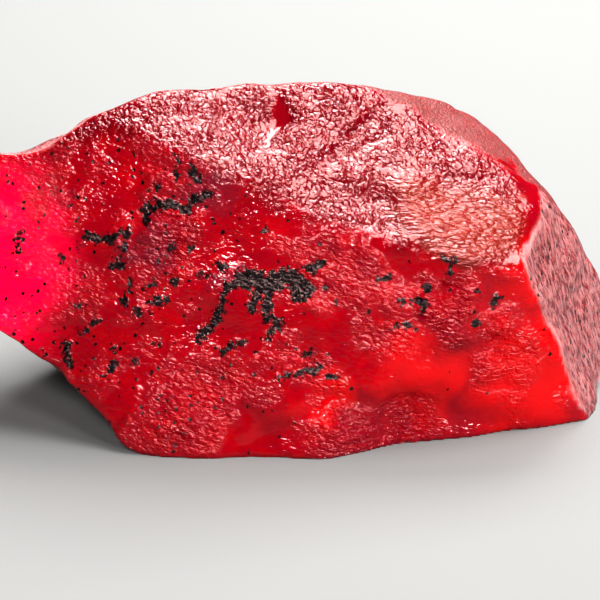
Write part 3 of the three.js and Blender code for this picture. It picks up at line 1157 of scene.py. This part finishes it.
@dataclass(frozen=True)
class Lump:
    """The whole lump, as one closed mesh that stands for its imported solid.

    Attributes:
        shape: Its shape.
        finish: Its material.
        fray: Size and depth of the wander of the borders between finishes, in mm.
        kinds_apart: From the wander of one finish to that of the next, in mm.
        blend: How softly one finish turns into the next, in mm.
        lively: Size of the patches of lively grain, in mm, along the drawn directions.
        calm: Patches of the breaks that are smooth.
        glitter: Patches of the breaks that are lively all over.
        clear: Patches of clear stone.
        bright: Patches where light comes through the thin left end.
        warm: Patches of orange.
        frosted: Patches of skin left on the fresh breaks.
        stained: Patches of the skin where the red shows through.
        hazy: Patches clouded by the finest specks.
        strands: The dark strands in the front.
        grain: How strong the grain is.
        liveliness: Lumps over which the grain goes from calm to lively.
        sway: Height, size and spacing, in mm, of the lumps that move the patches' borders.
        notch_border: Share of the notch's steeper side over which it turns glassy.
        notch_fray: Size of the lumps that fray that border, in mm, and the share that they add.
        ahead: Y over which the strands set in towards the front, in mm.
        leftward: X over which the flecks gather towards the left end, in mm.
        rubbing: Size of the patches of worn edge, in mm.
        sunk: How far the strands are pressed in, in mm.
    """

    shape: LumpShape = field(default_factory=LumpShape)
    finish: RedStone = field(default_factory=RedStone)
    fray: tuple[float, float] = (1.6, 0.35)
    kinds_apart: float = 40.0
    blend: float = 0.3
    lively: float = 3.0
    calm: tuple[Patch, ...] = (
        Patch((23.5, -6.5, 10), 4),  # right of the front
        Patch((22, -5.8, 15.5), 3.5),
        Patch((10.5, -9.2, 16.6), 2.5),  # under the terrace's edge
        Patch((14, -9.6, 4.9), 4.5),  # band above the chip
        Patch((7, -11.7, 6), 4),
        Patch((1, -12.4, 4.9), 3.5),
        Patch((-5.5, -13, 2), 3),
        Patch((23, -7, 3), 5),
        Patch((9.5, 5, 27.5), 1.2),  # lens at the top of the terrace
        Patch((-27, -5, 15), 5),  # left end
    )
    glitter: tuple[Patch, ...] = (
        Patch((19.3, -7.8, 7.4), 5),
        Patch((4, -13, 1.5), 5),
        Patch((10, -10.5, 1.5), 4),
        Patch((13.5, -8.5, 13), 4.5),
        Patch((-10.7, -12.5, 4.5), 5),
        Patch((-13, -7.5, 19.5), 4),
    )
    clear: tuple[Patch, ...] = (
        Patch((22, -6.5, 6), 8),
        Patch((11, -10.5, 5), 7),
        Patch((22, -5.8, 15.5), 5),
        Patch((3, -12.5, 5), 4),
    )
    bright: tuple[Patch, ...] = (Patch((-31, -3, 15), 13),)
    warm: tuple[Patch, ...] = (Patch((14, -5, 20.3), 8), Patch((19.5, -4.5, 19.5), 6))
    frosted: tuple[Patch, ...] = (Patch((-24, -4, 22), 5), Patch((-29, -3, 20), 5))
    stained: tuple[Patch, ...] = (Patch((26, -4, 5), 7), Patch((24, -5, 14), 4))
    hazy: tuple[Patch, ...] = (
        Patch((-8.4, -6, 22.6), 3.2),
        Patch((-14, -7, 18), 3),
        Patch((-6.5, -9, 16), 2),
    )
    strands: tuple[Strand, ...] = (
        # along the top edge
        Strand(
            0.42,
            ((-14.4, 21.5), (-13.3, 22.3), (-11.6, 22.1), (-10.8, 21.8), (-10.1, 22.5), (-8.3, 23.2)),
        ),
        Strand(0.25, ((-14.3, 20.8), (-14.4, 21.5))),
        Strand(0.33, ((-10.1, 25.4), (-9.3, 24.9), (-9.8, 24.6))),
        Strand(0.2, ((-13.1, 23.7), (-12.9, 23.7))),
        Strand(0.2, ((-11.6, 24.3), (-11.4, 26.0))),
        # left cluster
        Strand(0.4, ((-19.8, 19.1), (-19.0, 18.9), (-17.8, 18.9), (-17.1, 19.3), (-15.9, 19.7))),
        Strand(0.6, ((-17.1, 16.8), (-17.0, 16.7))),
        Strand(0.22, ((-16.0, 18.4), (-16.2, 18.2))),
        # the large cluster in the middle and the chain down its left side
        Strand(
            0.85,
            (
                (-5.5, 16.0),
                (-4.3, 16.1),
                (-3.6, 15.5),
                (-2.5, 15.8),
                (-1.5, 16.2),
                (-0.6, 15.8),
                (0.4, 15.1),
            ),
        ),
        Strand(0.6, ((-0.6, 15.8), (-0.3, 14.4))),
        Strand(0.55, ((-4.0, 15.2), (-4.3, 14.4), (-4.5, 13.6))),
        Strand(0.6, ((-3.1, 15.2), (-3.1, 14.1), (-3.3, 13.2))),
        Strand(0.35, ((-5.7, 16.0), (-6.7, 15.5), (-7.3, 14.3), (-7.6, 13.0))),
        Strand(0.5, ((-7.6, 13.0), (-8.0, 12.0), (-8.8, 11.2), (-9.2, 10.6))),
        Strand(0.27, ((-9.6, 16.4), (-8.7, 16.1))),
        Strand(0.25, ((-7.5, 17.4), (-6.9, 16.7))),
        Strand(0.4, ((0.8, 16.7), (1.1, 17.1), (2.0, 17.3))),
        Strand(0.2, ((2.0, 15.2), (2.2, 15.3))),
        # small ones round about
        Strand(0.3, ((-13.8, 13.7), (-12.3, 13.9))),
        Strand(0.35, ((-15.2, 12.8), (-15.0, 12.7))),
        Strand(0.28, ((-11.8, 15.7), (-11.6, 15.6))),
        Strand(0.2, ((-14.1, 15.1), (-13.5, 15.4))),
        Strand(0.18, ((-15.8, 15.3), (-16.0, 14.5))),
        Strand(0.27, ((-10.5, 18.5), (-10.3, 18.5))),
        Strand(0.25, ((-12.4, 18.7), (-12.2, 18.7))),
        Strand(0.2, ((-3.4, 20.3), (-3.2, 20.3))),
        Strand(0.3, ((-7.3, 9.3), (-6.4, 10.0), (-5.5, 10.3))),
        Strand(0.36, ((-3.1, 10.7), (-2.6, 11.4), (-2.0, 12.0), (-2.9, 12.5))),
        Strand(0.24, ((-2.2, 7.3), (-1.0, 7.6), (0.3, 7.8), (1.7, 7.9))),
        Strand(0.3, ((2.1, 7.2), (3.0, 7.2))),
        Strand(0.3, ((0.5, 9.2), (0.7, 9.2))),
        Strand(0.3, ((-18.2, 6.8), (-17.4, 7.9))),
        Strand(0.25, ((-17.4, 9.3), (-17.3, 9.4))),
        Strand(0.3, ((-15.5, 8.2), (-15.3, 8.2))),
        Strand(0.25, ((-13.4, 10.1), (-13.2, 10.1))),
        # the left end
        Strand(0.22, ((-25.9, 18.8), (-26.6, 17.9), (-26.3, 17.1))),
        Strand(0.2, ((-20.4, 18.2), (-20.2, 18.2))),
        Strand(0.2, ((-22.3, 16.9), (-22.1, 16.9))),
        Strand(0.25, ((-20.9, 12.7), (-20.7, 12.7))),
        Strand(0.25, ((-20.5, 10.4), (-19.5, 11.2), (-18.8, 11.7))),
        Strand(0.35, ((-21.7, 9.4), (-21.8, 8.5), (-21.7, 7.6))),
        Strand(0.2, ((-24.1, 8.4), (-23.9, 8.4))),
        Strand(0.3, ((-16.4, 13.7), (-16.2, 13.7))),
        # right of the middle
        Strand(0.24, ((13.1, 17.7), (14.1, 17.5))),
        Strand(0.3, ((13.7, 16.6), (13.9, 16.4))),
        Strand(0.22, ((11.6, 15.0), (11.8, 15.0))),
        Strand(0.45, ((11.1, 13.9), (11.2, 13.6))),
        Strand(0.28, ((10.4, 14.0), (10.6, 14.0))),
        Strand(0.33, ((18.0, 13.7), (17.7, 12.9))),
        Strand(0.2, ((15.9, 14.6), (16.1, 14.6))),
        Strand(0.3, ((16.0, 11.4), (16.2, 11.4))),
        Strand(0.22, ((7.2, 15.8), (7.8, 16.0))),
        Strand(0.22, ((8.6, 11.7), (9.5, 12.0), (10.3, 11.6))),
        Strand(0.25, ((8.9, 14.1), (9.1, 14.1))),
    )
    grain: GrainStrength = GrainStrength()
    liveliness: tuple[float, float] = (-0.15, 0.45)
    sway: tuple[tuple[float, float, float], ...] = ((1.8, 3.2, 17.0), (0.7, 1.4, 29.0))
    notch_border: tuple[float, float] = (0.28, 0.4)
    notch_fray: tuple[float, float] = (1.1, 0.1)
    ahead: tuple[float, float] = (6.0, 2.0)
    leftward: tuple[float, float] = (8.0, -16.0)
    rubbing: float = 2.2
    sunk: float = 0.12

    def shares(self, rows: Array, points: Array) -> dict[Finish, Array]:
        """Gives each finish its share of the surface: exp((least - distance) / blend), scaled to sum to 1.

        Args:
            rows: Distance to each face along each ray, one row to a face.
            points: The surface.

        Returns:
            One share for each point, by finish.
        """
        size, depth = self.fray
        order = list(Finish)
        wander = np.stack([lumps(points + self.kinds_apart * i, size) for i in range(len(order))])
        faces = self.shape.faces()
        frayed = np.stack([row + depth * wander[order.index(f.finish)] for row, f in zip(rows, faces)])
        weight = np.exp((frayed.min(0) - frayed) / self.blend)
        weight /= weight.sum(0)
        empty = np.zeros(len(points))
        return {kind: sum((w for w, f in zip(weight, faces) if f.finish is kind), empty) for kind in Finish}

    def numbers(self, rows: Array, points: Array) -> dict[str, Array]:
        """Works out the numbers that the material reads, each a weighted sum or product of the shares below.

        The skin is the frosted and rubbed share, with worn patches added and stained ones taken off. The
        worn edge is a line where the frosted share is about a half. The clear, magenta, orange and haze
        shares are those of their patches, but the clear share is taken down in the chip along the foot, as
        painted shade in its hollow, and a little on the glassy parts. The breaks that face up carry a share
        of painted shade, a darker red. The depth inside the strands falls to -1 behind the front, and the
        flecks gather leftward.

        Args:
            rows: Distance to each face along each ray.
            points: The surface, in mm.

        Returns:
            One number for each point, by name.
        """
        # The borders of the patches wander, because the points that they cover are moved first.
        moved = points
        for height, size, apart in self.sway:
            moved = moved + height * lump_vectors(points, size, apart)

        def cover(patches: tuple[Patch, ...]) -> Array:
            """The most that any of the patches covers each point, with wandering borders."""
            return np.max([patch.cover(moved) for patch in patches], axis=0)

        shares = self.shares(rows, points)
        frosted = shares[Finish.SKIN]
        skin = frosted + shares[Finish.RUBBED]
        liveliness = lumps(points / np.array(self.shape.drawn), self.lively)
        liveliness = liveliness + 0.5 * lumps(points, self.lively / 2.0)
        glitter = cover(self.glitter)
        lively = np.maximum(smooth_step(*self.liveliness, liveliness), glitter)
        size, depth = self.notch_fray
        steeper = self.shape.notch.shares(points)[1] + depth * lumps(points, size)
        notch = smooth_step(*self.notch_border, steeper)
        glassy = np.maximum(shares[Finish.GLASSY], notch)
        pebbled = shares[Finish.PEBBLED] * (1.0 - notch)
        lively = 1.0 - (1.0 - lively) * (1.0 - pebbled)
        quiet = np.maximum(cover(self.calm) * (1.0 - glitter), glassy)
        rough = self.grain.at(lively, glitter, pebbled, quiet)
        ahead = smooth_step(*self.ahead, points[:, 1])
        left = smooth_step(*self.leftward, points[:, 0])
        inside = np.max([strand.depth(points) for strand in self.strands], axis=0) * ahead - (1.0 - ahead)
        worn = smooth_step(-0.6, 0.6, lumps(points, self.rubbing))
        line = smooth_step(0.3, 0.55, frosted) * (1.0 - smooth_step(0.75, 0.95, skin))
        return {
            "skin": np.maximum(skin, 0.35 * cover(self.frosted)) - 0.25 * cover(self.stained) * skin,
            "rubbed": shares[Finish.RUBBED] / np.maximum(skin, 1e-3),
            "edge": line * (0.15 + 0.6 * worn) * smooth_step(0.3, 1.5, points[:, 2]),
            "pebbled": pebbled,
            # Painted shade on the breaks that face up: the pebbled ones and half the glassy ones.
            "upward_shade": pebbled + 0.5 * glassy,
            "rough": np.maximum(rough, smooth_step(-0.3, 0.2, inside)),
            # Painted shade: the chip along the foot loses clearness, for a deeper red in its hollow; the
            # glassy parts lose a little.
            "clear": cover(self.clear) - 0.6 * shares[Finish.CHIPPED] - 0.3 * glassy,
            "magenta": cover(self.bright),
            "orange": cover(self.warm) * pebbled,
            "haze": 0.4 * cover(self.hazy),
            "inside": np.maximum(inside, -1.0),
            "fleck": (0.1 + 0.9 * left) * shares[Finish.DRAWN] + 0.8 * frosted + 0.3 * shares[Finish.RUBBED],
        }

    def build(self) -> bpy.types.Object:
        """Builds, dresses and places the piece.

        Returns:
            The piece, riding on its body.
        """
        rays, cells = self.shape.rays()
        rows = self.shape.distances(rays)
        points = self.shape.surface(rays, rows)
        numbers = self.numbers(rows, points)
        sunk = self.sunk * smooth_step(-0.2, 0.5, numbers["inside"])
        points = self.shape.grained(rays, points, numbers["rough"], sunk)

        low, high = (np.array(corner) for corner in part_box(CAD_NODE))
        shift = (low + high) / 2.0 - (points.min(0) + points.max(0)) / 2.0 * MM
        shift[2] = 0.0
        mesh = bpy.data.meshes.new("lump")
        mesh.vertices.add(len(points))
        mesh.vertices.foreach_set("co", (points * MM + shift).astype(np.float32).ravel())
        mesh.loops.add(cells.size)
        mesh.loops.foreach_set("vertex_index", cells.astype(np.int32).ravel())
        mesh.polygons.add(len(cells))
        mesh.polygons.foreach_set("loop_start", np.arange(0, cells.size, 4, dtype=np.int32))
        mesh.polygons.foreach_set("use_smooth", np.ones(len(cells), bool))
        mesh.update(calc_edges=True)
        for name, values in numbers.items():
            mesh.attributes.new(name, "FLOAT", "POINT").data.foreach_set("value", values.astype(np.float32))
        piece = bpy.data.objects.new("lump", mesh)
        bpy.context.scene.collection.objects.link(piece)
        mesh.materials.append(self.finish.material())
        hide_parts(CAD_NODE)
        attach(piece, BODY)
        moved = np.round(shift / MM, 2)
        log.info("lump: %d vertices, %d cells, moved by %s mm", len(points), len(cells), moved)
        return piece


@dataclass(frozen=True)
class Lamp:
    """A soft square lamp.

    Attributes:
        name: Its name.
        place: Where it stands, in metres.
        aim: What it looks at, in metres.
        size: Its side, in metres.
        power: Its power, in watts.
    """

    name: str
    place: Point
    aim: Point
    size: float
    power: float

    def build(self) -> None:
        """Adds the lamp, turned to face what it looks at."""
        light = bpy.data.lights.new(self.name, "AREA")
        light.size = self.size
        light.energy = self.power
        made = bpy.data.objects.new(self.name, light)
        made.location = self.place
        away = Vector(self.place) - Vector(self.aim)
        made.rotation_euler = away.to_track_quat("Z", "Y").to_euler()
        bpy.context.scene.collection.objects.link(made)


@dataclass(frozen=True)
class Studio:
    """Camera, floor and soft light.

    Attributes:
        aim: What the camera looks at, in mm from the origin.
        rise: Degrees that the camera looks down.
        distance: From the camera to its aim, in mm.
        width: What the picture spans at the aim, in mm.
        sensor: Width of the camera's sensor, in mm.
        nearest: The nearest that the camera sees, in metres.
        lamps: The lamps: large ones above and behind, small ones in front.
        room: Colour of the dim room.
        room_strength: Strength of its light.
        paint: Colour of the floor.
        roughness: Roughness of the floor.
        half: Half the floor's side, in metres.
        exposure: Exposure of the picture, in stops.
        gamma: Gamma of the picture.
    """

    aim: Point = (2.0, -9.85, 13.9)
    rise: float = 22.0
    distance: float = 220.0
    width: float = 55.2
    sensor: float = 36.0
    nearest: float = 0.005
    lamps: tuple[Lamp, ...] = (
        Lamp("overhead", (0.2, 0.02, 0.455), (0.0, 0.0, 0.01), 0.33, 6.6),
        Lamp("behind", (0.02, 0.275, 0.35), (0.02, 0.26, 0.0), 0.26, 5.0),
        Lamp("front", (-0.09, -0.43, 0.35), (0.0, 0.0, 0.01), 0.12, 3.1),
        Lamp("side", (0.28, -0.35, 0.14), (0.0, 0.0, 0.01), 0.09, 2.1),
    )
    room: Colour = (0.95, 0.98, 1.0)
    room_strength: float = 0.05
    paint: Colour = (0.13, 0.13, 0.127)
    roughness: float = 0.9
    half: float = 3.0
    exposure: float = 0.24
    gamma: float = 0.79

    def camera(self) -> None:
        """Places the camera: it looks along +Y and down by `rise`."""
        lens = bpy.data.cameras.new("camera")
        lens.sensor_width = self.sensor
        lens.lens = self.sensor * self.distance / self.width
        lens.clip_start = self.nearest
        made = bpy.data.objects.new("camera", lens)
        back = Vector(facing(0.0, self.rise))
        made.location = (Vector(self.aim) + back * self.distance) * MM
        made.rotation_euler = back.to_track_quat("Z", "Y").to_euler()
        bpy.context.scene.collection.objects.link(made)
        bpy.context.scene.camera = made

    def lights(self) -> None:
        """Lights the lump and the floor behind it from above, and a little from the front, in a dim room."""
        for lamp in self.lamps:
            lamp.build()
        world = bpy.data.worlds.new("room")
        world.use_nodes = True
        glow = world.node_tree.nodes["Background"]
        glow.inputs["Color"].default_value = (*self.room, 1.0)
        glow.inputs["Strength"].default_value = self.room_strength
        bpy.context.scene.world = world

    def floor(self) -> None:
        """Lays a plain pale floor."""
        mesh = bpy.data.meshes.new("floor")
        half = self.half
        corners = [(-half, -half, 0.0), (half, -half, 0.0), (half, half, 0.0), (-half, half, 0.0)]
        mesh.from_pydata(corners, [], [(0, 1, 2, 3)])
        paint = bpy.data.materials.new("floor")
        paint.use_nodes = True
        shader = paint.node_tree.nodes["Principled BSDF"]
        shader.inputs["Base Color"].default_value = (*self.paint, 1.0)
        shader.inputs["Roughness"].default_value = self.roughness
        mesh.materials.append(paint)
        made = bpy.data.objects.new("floor", mesh)
        bpy.context.scene.collection.objects.link(made)

    def build(self) -> None:
        """Sets up the whole studio, with plain colour."""
        view = bpy.context.scene.view_settings
        view.view_transform = "Standard"
        view.exposure = self.exposure
        view.gamma = self.gamma
        self.camera()
        self.lights()
        self.floor()
        log.info("studio: camera, lights and floor")


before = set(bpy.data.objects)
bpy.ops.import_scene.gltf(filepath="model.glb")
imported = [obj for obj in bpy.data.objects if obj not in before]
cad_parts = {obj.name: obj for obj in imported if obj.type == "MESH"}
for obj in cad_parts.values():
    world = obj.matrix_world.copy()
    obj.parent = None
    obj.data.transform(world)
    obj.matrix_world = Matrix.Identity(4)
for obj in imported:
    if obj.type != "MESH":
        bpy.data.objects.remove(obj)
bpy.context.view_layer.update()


def main() -> None:
    """Builds the studio and the lump."""
    logging.basicConfig(level=logging.INFO, format="%(name)s: %(message)s")
    Studio().build()
    Lump().build()


if __name__ == "__main__":
    main()
